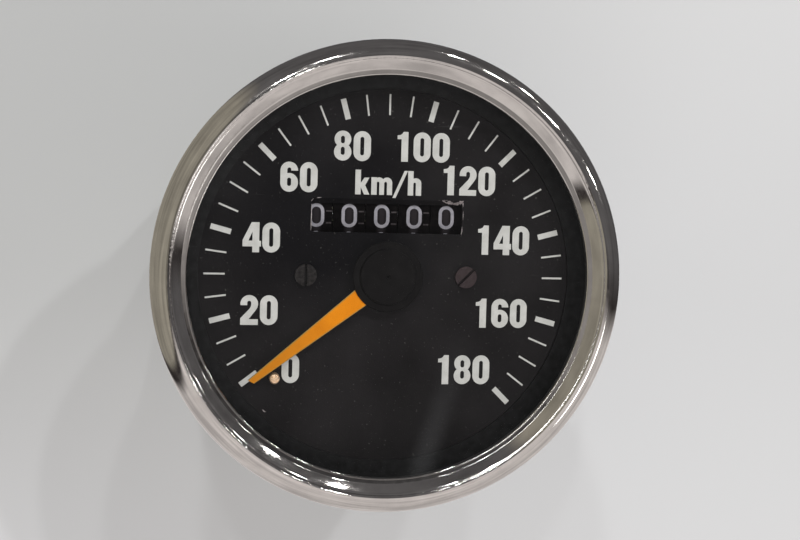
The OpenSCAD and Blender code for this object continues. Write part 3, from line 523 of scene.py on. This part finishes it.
hub_plastic = finish("hub_plastic", (0.006, 0.0055, 0.0055), 0.45, Specular_IOR_Level=0.08)
tint(hub_plastic, cloud(hub_plastic, 500, 0, 1), (0.0045, 0.004, 0.0042), (0.0075, 0.007, 0.007))
roughen(hub_plastic, cloud(hub_plastic, 1500, 0.32, 0.5))
relief(hub_plastic, cloud(hub_plastic, 3000, 0, 1), 0.000008)
hub_outline = np.concatenate([
    [(0, 2.9), (1.2, 2.9), (1.7, 3.1), (1.7, 4.55), (1.8, 4.61), (6.3, 4.61)],
    arc((6.3, 4.79), 0.18, -90, 80, 10),
    line((6.25, 4.97), (5.35, 4.97), 3),
    arc((5.3, 5.07), 0.1, 270, 200, 5),
    arc((4.9, 5.1), 0.2, 0, 90, 8),
    line((4.8, 5.3), (0.6, 5.3), 8),
    arc((0.45, 5.15), 0.15, 90, 180, 5),
    [(0.28, 5.02), (0.15, 4.99), (0, 4.99)],
])
put("hub_cap", turned(hub_outline, "hub_cap", steps=192, closed=False), hub_plastic,
    "pointer", "hub", "pointer_hub")

ground_steel = finish("ground_steel", (0.55, 0.55, 0.56), 0.3, metal=1.0)
tint(ground_steel, cloud(ground_steel, 1200, 0, 1), (0.45, 0.45, 0.46), (0.62, 0.62, 0.63))
roughen(ground_steel, cloud(ground_steel, 2500, 0.22, 0.4, stretch=(1, 8, 1)))
light_metal = finish("light_metal", (0.75, 0.75, 0.76), 0.3, metal=1.0)
tint(light_metal, cloud(light_metal, 900, 0, 1), (0.68, 0.68, 0.69), (0.8, 0.8, 0.81))
old_brass = finish("old_brass", (0.62, 0.46, 0.22), 0.35, metal=1.0)
tint(old_brass, cloud(old_brass, 1100, 0, 1), (0.48, 0.34, 0.15), (0.7, 0.54, 0.28))
wear("pointer_spindle", ground_steel)
wear("drag_cup", light_metal)
for node in ("hairspring", "hairspring_collet", "pointer_bearing", "spindle_bearing"):
    wear(node, old_brass)
wear("hairspring_stud", ground_steel)

# --- Number drums ---
# Five black moulded drums turn on one axle behind the window, their rims paler under the figures,
# where light spilled from the pale figures is painted on. Each has 0 to 9 moulded round its rim in
# bluish white, and the four slower ones have short grey bars beside the figures.

DRUM_Y, DRUM_Z, DRUM_R = 11.0, -6.7, 7.8
DRUM_X = {"units": 11.18, "tens": 5.14, "hundreds": -0.9, "thousands": -6.94,
          "ten_thousands": -12.98}
DRUM_PITCH = 6.04
FIGURE_STEP = 2 * np.pi * DRUM_R / 10  # along the rim from one figure to the next
FIGURE_DROP = 0.08                     # how far the figure in the window stands too low
FIGURE_LINE, BAR_LINE = 0.3, 0.13      # half widths of their strokes
SUNK, RAISED = -0.05, 0.03             # their foot and their face, from the rim
W, H = 1.13, 1.88                      # half width and half height of a figure's centre line


def in_row(material, first, pitch, inner, outer):
    """Bands round the X axis at evenly spaced places.

    The value falls smoothly from 1 to 0 as the distance along X from the nearest place grows
    from inner to outer. The places are first plus whole multiples of the pitch.
    """
    tree = material.node_tree
    off = reckon(tree, "SUBTRACT", axes(tree, object_place(tree))["X"], first)
    away = reckon(tree, "PINGPONG", off, pitch / 2)
    return ranged(tree, away, (inner, outer, 1, 0), smooth=True)


drum_moulding = finish("drum_moulding", (0.004, 0.0038, 0.004), 0.55, Specular_IOR_Level=0.03)
mottled = tint(drum_moulding, cloud(drum_moulding, 900, 0, 1),
               (0.0015, 0.0012, 0.0013), (0.005, 0.004, 0.0042))
# Painted light: the rim is painted paler in bands under the figures, for light spilled from them.
spill_under_figures = in_row(drum_moulding, DRUM_X["units"] * MM, DRUM_PITCH * MM,
                        inner=0.2 * MM, outer=1.15 * MM)
tint(drum_moulding, spill_under_figures, BLACK, (0.0215, 0.0187, 0.0206), under=mottled)
figure_ink = finish("figure_ink", (0.3, 0.33, 0.37), 0.55, Specular_IOR_Level=0.2)
tint(figure_ink, cloud(figure_ink, 1500, 0, 1), (0.245, 0.242, 0.272), (0.345, 0.336, 0.368))


def bend(centre, radius, start, end, steps=12):
    """A rounded stretch of a figure's centre line."""
    return arc(centre, radius, start, end, steps)


# The strokes of each figure: a centre line, and whether its ends meet.
FIGURES = {
    0: [(np.concatenate([bend((0, H - W), W, 0, 180), bend((0, W - H), W, 180, 360)]), True)],
    1: [([(0.05, H), (0.05, -H)], False), ([(-0.6, 1.3), (-0.1, 1.6)], False)],
    2: [(np.concatenate([bend((0, H - W), W, 165, -30), [(-1.1, -1.75), (-1.1, -H), (W, -H)]]),
         False)],
    3: [(np.concatenate([bend((0, 1.0), 0.98, 150, -60), bend((0, -0.85), 1.13, 70, -150)]),
         False)],
    4: [([(0.35, -H), (0.35, H), (-W, -0.85), (W, -0.85)], False)],
    5: [(np.concatenate([[(1.0, H), (-0.95, H), (-1.05, 0.25)], bend((0, -0.8), W, 130, -150)]),
         False)],
    6: [(bend((0, W - H), W, 150, -210, 24), True),
        ([(-1.1, -0.5), (-0.7, 0.9), (0.45, H)], False)],
    7: [([(-W, H), (W, H), (0.3, 0.1), (-0.25, -H)], False)],
    8: [(bend((0, 1.0), 0.98, 90, 450, 24)[:-1], True),
        (bend((0, -0.85), 1.13, 90, 450, 24)[:-1], True)],
    9: [(bend((0, H - W), W, 30, 390, 24), True),
        ([(1.1, 0.5), (0.7, -0.8), (-0.1, -1.3)], False)],
}


def fine(path, looped, step=0.25):
    """The same centre line with points no further apart than a step, so it follows the rim."""
    path = np.asarray(path, float)
    ends = np.vstack([path, path[:1]]) if looped else path
    pieces = [line(a, b, max(1, int(np.ceil(np.hypot(*(b - a)) / step))))
              for a, b in zip(ends[:-1], ends[1:])]
    return np.vstack(pieces if looped else pieces + [ends[-1:]])


def on_drum(u, v, rise, x):
    """A flat drawing wrapped on a drum: u runs along the axle, and v is an arc length up the rim.

    With the angle v / R above the front, the point's height over the axle is (R + rise) times
    its cosine, and its distance up from the axle is (R + rise) times its sine.
    """
    angle = v / DRUM_R
    return np.stack([x + u, -(DRUM_Z + (DRUM_R + rise) * np.cos(angle)),
                     DRUM_Y + (DRUM_R + rise) * np.sin(angle)], axis=-1) * MM


def stroke(path, looped, half, x, v0):
    """A moulded stroke: a rectangle carried along a centre line on the drum's rim.

    Each section lies across the mean of the two directions that meet at its point, and is
    widened at a bend by one over the cosine of half the bend.
    """
    path = np.asarray(path, float)
    if looped:
        before, after = np.roll(path, 1, axis=0), np.roll(path, -1, axis=0)
    else:
        before = np.vstack([2 * path[0] - path[1], path[:-1]])
        after = np.vstack([path[1:], 2 * path[-1] - path[-2]])
    a = (path - before) / np.linalg.norm(path - before, axis=1, keepdims=True)
    b = (after - path) / np.linalg.norm(after - path, axis=1, keepdims=True)
    mean = a + b
    mean /= np.linalg.norm(mean, axis=1, keepdims=True)
    grow = 1 / np.clip((mean * a).sum(axis=1), 0.6, 1)
    nx, ny = -mean[:, 1] * half * grow, mean[:, 0] * half * grow
    side = np.array([-1.0, 1.0, 1.0, -1.0])[None]
    lift = np.array([SUNK, SUNK, RAISED, RAISED])[None]
    u = path[:, :1] + nx[:, None] * side
    v = path[:, 1:] + ny[:, None] * side
    grid = on_drum(u, v + v0, lift + 0 * u, x)
    return skin("stroke", grid, round_u=looped, capped=not looped)


for name, x in DRUM_X.items():
    figures = [stroke(fine(path, looped), looped, FIGURE_LINE, x,
                      -figure * FIGURE_STEP - FIGURE_DROP)
               for figure, strokes in FIGURES.items() for path, looped in strokes]
    put(name + "_figures", joined(name + "_figures", figures), figure_ink, name, "print")
    wear(name + "_drum", drum_moulding)

grey_moulding = finish("grey_moulding", (0.04, 0.034, 0.036), 0.5, Specular_IOR_Level=0.2)
tint(grey_moulding, cloud(grey_moulding, 2500, 0, 1), (0.022, 0.018, 0.02), (0.058, 0.05, 0.052))
BAR_ACROSS = (1.75, 2.25, 2.75)  # points of a bar, right of the figures' middle
BAR_LEVELS = (-1.45, 0.73)       # of the two bars beside each figure
for name, x in DRUM_X.items():
    if name == "units":
        continue
    bars = [stroke([(u, v) for u in BAR_ACROSS], False, BAR_LINE, x, figure * FIGURE_STEP)
            for figure in range(10) for v in BAR_LEVELS]
    put(name + "_bars", joined(name + "_bars", bars), grey_moulding, name, "drum")

ivory_moulding = finish("ivory_moulding", (0.6, 0.56, 0.44), 0.45)
tint(ivory_moulding, cloud(ivory_moulding, 800, 0, 1), (0.52, 0.48, 0.36), (0.66, 0.62, 0.5))
for node in ("carry_pinion_1", "carry_pinion_2", "carry_pinion_3", "carry_pinion_4",
             "drum_drive_wheel", "cross_wheel", "odometer_wheel"):
    wear(node, ivory_moulding)

# --- Mechanism ---
# Shafts, worms, brackets and screws are ground or turned steel, the plates are die cast, and the
# magnet is a raw sintered disc. All of it is shut in between the dial and the case.

cast_metal = finish("cast_metal", (0.55, 0.55, 0.55), 0.45, metal=0.9)
tint(cast_metal, cloud(cast_metal, 600, 0, 1), (0.47, 0.47, 0.47), (0.6, 0.6, 0.6))
relief(cast_metal, cloud(cast_metal, 3500, 0, 1), 0.00003)
sintered = finish("sintered", (0.1, 0.1, 0.11), 0.6, metal=0.5)
tint(sintered, cloud(sintered, 2500, 0, 1), (0.07, 0.07, 0.075), (0.14, 0.14, 0.15))
for node in ("dial_pillars", "bridge_screws", "drive_spindle", "main_worm", "field_ring",
             "cross_shaft", "cross_worm", "odometer_shaft", "odometer_worm", "drum_axle",
             "drum_brackets", "bracket_screws", "pinion_carriers"):
    wear(node, ground_steel)
wear("bridge_plate", cast_metal)
wear("mechanism_frame", cast_metal)
wear("magnet", sintered)

# --- Case and rear fittings ---
# The case is a zinc plated steel cup. Its rear wall holds the threaded cable connector, two
# mounting studs, three slotted screws, two moulded bulb holders and a brass earth blade.

zinc_plating = finish("zinc_plating", (0.5, 0.5, 0.48), 0.4, metal=0.9)
spangle = tint(zinc_plating, cloud(zinc_plating, 160, 0, 1, detail=6),
               (0.4, 0.4, 0.385), (0.57, 0.57, 0.55))
grains = cloud(zinc_plating, 1900, 0, 0.6, spread=(0.6, 0.75))
tint(zinc_plating, grains, BLACK, (0.66, 0.66, 0.65), under=spangle)
roughen(zinc_plating, cloud(zinc_plating, 700, 0.3, 0.5))
relief(zinc_plating, cloud(zinc_plating, 1500, 0, 1), 0.000015)
black_bakelite = finish("black_bakelite", (0.015, 0.014, 0.013), 0.35)
tint(black_bakelite, cloud(black_bakelite, 900, 0, 1), (0.01, 0.009, 0.009), (0.03, 0.026, 0.024))
lamp_glass = finish("lamp_glass", (0.9, 0.88, 0.8), 0.1, Alpha=0.3)
tint(lamp_glass, cloud(lamp_glass, 900, 0, 1), (0.85, 0.82, 0.72), (0.95, 0.93, 0.88))
wear("case", zinc_plating)
wear("frame_screws", ground_steel)
wear("earth_tab", old_brass)
wear("bulb_holders", black_bakelite)
wear("bulbs", lamp_glass)


def threaded(name, before, thread, after, pitch, depth, steps, centre=(0.0, 0.0)):
    """A turned outline whose middle part carries a screw thread.

    The radius there is less by depth times twice the distance from one half of the fractional
    part of height / pitch less the turn, so the crest climbs by one pitch in each turn.
    """
    outline = np.concatenate([before, thread, after])
    cut = np.concatenate([np.zeros(len(before)), np.ones(len(thread)), np.zeros(len(after))])
    a = np.linspace(0, 2 * np.pi, steps, endpoint=False)[:, None]
    r, h = outline[None, :, 0], outline[None, :, 1]
    phase = (h / pitch - a / (2 * np.pi)) % 1.0
    r = r - cut[None] * depth * np.abs(2 * phase - 1)
    return skin(name, round_axis(r, h, a, centre), round_v=False, crease=60)


NECK_R, COLLAR_R = 9.0, 8.0
NECK_END_R, NECK_END, LEAD_IN = 8.4, -65.6, 1.2
socket_end = np.concatenate([
    [(1.7, -52.95), (3.0, -52.95), (4.2, -52.95)],
    line((4.2, -53.0), (4.2, -65.4), 6),
    [(4.2, -65.5), (4.7, -65.98), (7.9, -65.98)],
])
neck_thread = line((NECK_END_R, NECK_END), (NECK_R, -56.2), 70)
tapered = NECK_END_R + (neck_thread[:, 1] - NECK_END) * LEAD_IN
neck_thread[:, 0] = np.minimum(NECK_R, tapered)
neck_root = [(NECK_R, -56.0), (COLLAR_R, -55.5), (COLLAR_R, -51.5), (1.7, -51.5), (1.7, -52.95)]
neck = threaded("cable_neck", socket_end, neck_thread, neck_root, pitch=1.5, depth=0.75, steps=96)
put("cable_neck", neck, zinc_plating, "gauge", "zinc", "cable_connector")


def hexagon_grid(across, low, high, chamfer, steps=96):
    """A chamfered hexagon.

    Its radius is half the width across flats over the cosine of the angle from the nearest flat,
    but no more than a cone allows near its rear face.
    """
    a = np.linspace(0, 2 * np.pi, steps, endpoint=False)[:, None]
    flat = across / 2 / np.cos((a + np.pi / 6) % (np.pi / 3) - np.pi / 6)
    h = np.array([high, high, low + chamfer, low + 0.5 * chamfer, low, low])[None]
    most = across / 2 / math.cos(math.pi / 6)
    least = across / 2 - 0.2  # the rear face is a little less than the flats
    cap = np.array([COLLAR_R, most, most, (most + least) / 2, least, COLLAR_R])[None]
    return round_axis(np.minimum(flat, cap), h, a, (0.0, 0.0))


hexagon = hexagon_grid(across=22, low=-55.99, high=-52.0, chamfer=1.2)
put("connector_hexagon", skin("connector_hexagon", hexagon, crease=30), zinc_plating,
    "gauge", "zinc")

stud_root = [(0, -50.02), (4.0, -50.02), (4.0, -50.98), (2.9, -51.0), (2.9, -52.3), (2.5, -52.3)]
stud_thread = line((2.5, -52.5), (2.5, -69.2), 167)
stud_end = [(2.1, -69.6), (1.7, -69.98), (0, -69.98)]
for name, z, nodes in (("upper_stud", 30.0, ["mounting_studs"]), ("lower_stud", -30.0, [])):
    stud = threaded(name, stud_root, stud_thread, stud_end, pitch=0.8, depth=0.42, steps=40,
                    centre=(0.0, z))
    put(name, stud, zinc_plating, "gauge", "zinc", *nodes)

# --- Room ---
# The gauge is shown before a pale wall, under small ceiling lamps, with a tall lamp in front
# and one low at the right. A near light and three far windows throw its overlapping shadows, and
# the table, the ceiling and the dim middle of the room show in the plated bezel.

scene = bpy.context.scene
scene.view_settings.view_transform = "Standard"


def lamp(name, place, size, watts):
    """An area lamp at a place, with its beam, its own -Z, turned to the gauge."""
    shining = bpy.data.objects.new(name, bpy.data.lights.new(name, "AREA"))
    shining.location = place
    shining.rotation_euler = (-Vector(place)).to_track_quat("-Z", "Y").to_euler()
    shining.data.energy = watts
    shining.data.size = size
    scene.collection.objects.link(shining)
    return shining


# Lamps that show in the plating: place, width, height, watts, and whether they throw shadows.
for name, place, width, height, watts, shadow in (
    ("ceiling_lamp_1", (-0.156, -0.875, 0.458), 0.035, 0.035, 0.55, True),
    ("ceiling_lamp_2", (-0.09, -0.755, 0.65), 0.04, 0.04, 0.55, False),
    ("ceiling_lamp_3", (0.374, -0.332, 0.866), 0.05, 0.05, 0.55, False),
    ("ceiling_lamp_4", (0.492, -0.548, 0.676), 0.05, 0.05, 0.58, False),
    ("ceiling_lamp_5", (0.678, -0.171, 0.715), 0.05, 0.05, 0.55, False),
    ("ceiling_lamp_6", (0.646, -0.612, 0.456), 0.05, 0.05, 0.58, False),
    ("ceiling_lamp_7", (0.856, -0.409, 0.315), 0.05, 0.05, 0.52, False),
    ("low_lamp", (0.69, -0.63, -0.34), 0.06, 0.34, 0.45, False),
    ("front_lamp", (-0.02, -0.98, 0.14), 0.05, 0.3, 0.6, False),
):
    seen_lamp = lamp(name, place, width, watts)
    seen_lamp.data.shape = "ELLIPSE"
    seen_lamp.data.size_y = height
    seen_lamp.data.use_shadow = shadow

# Lights that only throw the shadows on the wall: place, width and watts.
for name, place, width, watts in (
    ("near_light", (-0.106, -0.484, 0.438), 0.03, 0.5),
    ("left_window", (0.362, -2.4, 1.98), 0.08, 7.0),
    ("middle_window", (0.81, -2.4, 1.7), 0.08, 8.0),
    ("right_window", (1.18, -2.4, 1.36), 0.08, 11.0),
):
    lamp(name, place, width, watts).visible_glossy = False

room = bpy.data.worlds.new("room")
scene.world = room
room.use_nodes = True
air = room.node_tree
air.nodes.clear()
direction = air.nodes.new("ShaderNodeTexCoord").outputs["Generated"]
toward = axes(air, direction)
seen = air.nodes.new("ShaderNodeLightPath").outputs["Is Camera Ray"]

# Its colours go round the gauge by the bearing in the plane of the dial: from the left, through
# the foot, where the table is, and the right to the top, where the ceiling is.
warm, table, ceiling = (0.42, 0.39, 0.33, 1), (0.85, 0.8, 0.79, 1), (0.14, 0.135, 0.14, 1)
gap = (0.045, 0.038, 0.038, 1)
stops = [(0.0, warm), (0.078, warm), (0.086, gap), (0.094, gap), (0.105, table), (0.28, table),
         (0.45, table), (0.472, gap), (0.5, ceiling), (0.835, ceiling), (0.86, warm), (1.0, warm)]
around = air.nodes.new("ShaderNodeValToRGB")
bearing = reckon(air, "ARCTAN2", toward["Z"], toward["X"])
air.links.new(ranged(air, bearing, (-math.pi, math.pi, 0, 1)), around.inputs["Fac"])
ramp = around.color_ramp
ramp.elements[0].position, ramp.elements[0].color = stops[0]
ramp.elements[1].position, ramp.elements[1].color = stops[-1]
for position, colour in stops[1:-1]:
    ramp.elements.new(position).color = colour
pick = air.nodes.new("ShaderNodeMix")
pick.data_type = "RGBA"
pick.inputs["B"].default_value = (0.62, 0.63, 0.65, 1)
air.links.new(seen, pick.inputs["Factor"])
air.links.new(around.outputs["Color"], pick.inputs["A"])

# The brightness is patchy, higher in front of the dial and low straight ahead of it.
patches = ranged(air, noise(air, direction, scale=3.5, detail=3), (0.35, 0.65, 0.66, 0.98))
front = ranged(air, toward["Y"], (-0.2, -0.8, 1.0, 1.2))
dim_middle = ranged(air, toward["Y"], (-0.93, -0.975, 1.0, 0.4))
uneven = reckon(air, "MULTIPLY", patches, reckon(air, "MULTIPLY", front, dim_middle))
strength = air.nodes.new("ShaderNodeMix")
strength.inputs["B"].default_value = 0.95
air.links.new(seen, strength.inputs["Factor"])
air.links.new(uneven, strength.inputs["A"])
glow = air.nodes.new("ShaderNodeBackground")
air.links.new(pick.outputs["Result"], glow.inputs["Color"])
air.links.new(strength.outputs["Result"], glow.inputs["Strength"])
outlet = air.nodes.new("ShaderNodeOutputWorld")
air.links.new(glow.outputs["Background"], outlet.inputs["Surface"])

# The wall's paint is graded as painted light and shade: lighter on the right and darker above.
# From behind it is clear.
wall_paint = finish("wall_paint", (0.62, 0.62, 0.62), 0.9)
tree = wall_paint.node_tree
on_wall = axes(tree, object_place(tree))
rightward = ranged(tree, on_wall["X"], (-0.1, 0.1, 0, 1), smooth=True)
upward = ranged(tree, on_wall["Z"], (-0.085, 0.0, 0, 1), smooth=True)
left = tint(wall_paint, upward, (0.712, 0.722, 0.735), (0.54, 0.552, 0.552))
right = tint(wall_paint, upward, (0.75, 0.762, 0.772), (0.695, 0.706, 0.714))
across_wall = tree.nodes.new("ShaderNodeMix")
across_wall.data_type = "RGBA"
tree.links.new(rightward, across_wall.inputs["Factor"])
tree.links.new(left, across_wall.inputs["A"])
tree.links.new(right, across_wall.inputs["B"])
tint(wall_paint, cloud(wall_paint, 9, 0, 0.06, detail=2), BLACK, (0.45, 0.45, 0.47),
     under=across_wall.outputs["Result"])
facing = tree.nodes.new("ShaderNodeNewGeometry")
through = tree.nodes.new("ShaderNodeBsdfTransparent")
one_sided = tree.nodes.new("ShaderNodeMixShader")
tree.links.new(facing.outputs["Backfacing"], one_sided.inputs["Fac"])
tree.links.new(tree.nodes["Principled BSDF"].outputs["BSDF"], one_sided.inputs[1])
tree.links.new(through.outputs["BSDF"], one_sided.inputs[2])
tree.links.new(one_sided.outputs["Shader"], tree.nodes["Material Output"].inputs["Surface"])

# A square grid of points, WALL_BACK behind the panel plane.
WALL_HALF, WALL_BACK, WALL_POINTS = 2.0, 0.0712, 5
wall_mesh = bpy.data.meshes.new("wall")
span = np.linspace(-WALL_HALF, WALL_HALF, WALL_POINTS)
u, v = np.meshgrid(span, span, indexing="ij")
grid = np.arange(WALL_POINTS ** 2).reshape(WALL_POINTS, WALL_POINTS)
quads = np.stack([grid[:-1, :-1], grid[1:, :-1], grid[1:, 1:], grid[:-1, 1:]], axis=-1)
wall_mesh.from_pydata(np.stack([u, WALL_BACK + 0 * u, v], axis=-1).reshape(-1, 3).tolist(), [],
                      quads.reshape(-1, 4).tolist())
wall_mesh.materials.append(wall_paint)
wall = bpy.data.objects.new("wall", wall_mesh)
scene.collection.objects.link(wall)
wall.visible_glossy = False

# The camera stands left of and a little above the dial's axis, 240 mm from the dial. Its place
# is in the camera's own axes, from the middle of the dial's face, in radii of the scale.
SCALE_R = 33.3
PLACE = Vector((0.0770, 0.0331, 7.1958))
tilt, pan, roll = math.radians(3.8641), math.radians(8.4916), math.radians(-0.8537)
attitude = (Matrix.Rotation(pan, 3, "Y") @ Matrix.Rotation(tilt, 3, "X")
            @ Matrix.Rotation(roll, 3, "Z"))
face_up = attitude.transposed()
stand = face_up @ PLACE * SCALE_R * MM + Vector((0, 0, DIAL_FACE * MM))
upright = Matrix.Rotation(math.radians(90), 3, "X")
camera = bpy.data.objects.new("camera", bpy.data.cameras.new("camera"))
camera.data.lens = 58.5
camera.data.sensor_width = 36
camera.data.clip_start = 0.01
scene.collection.objects.link(camera)
camera.matrix_world = Matrix.Translation(upright @ stand) @ (upright @ face_up).to_4x4()
scene.camera = camera
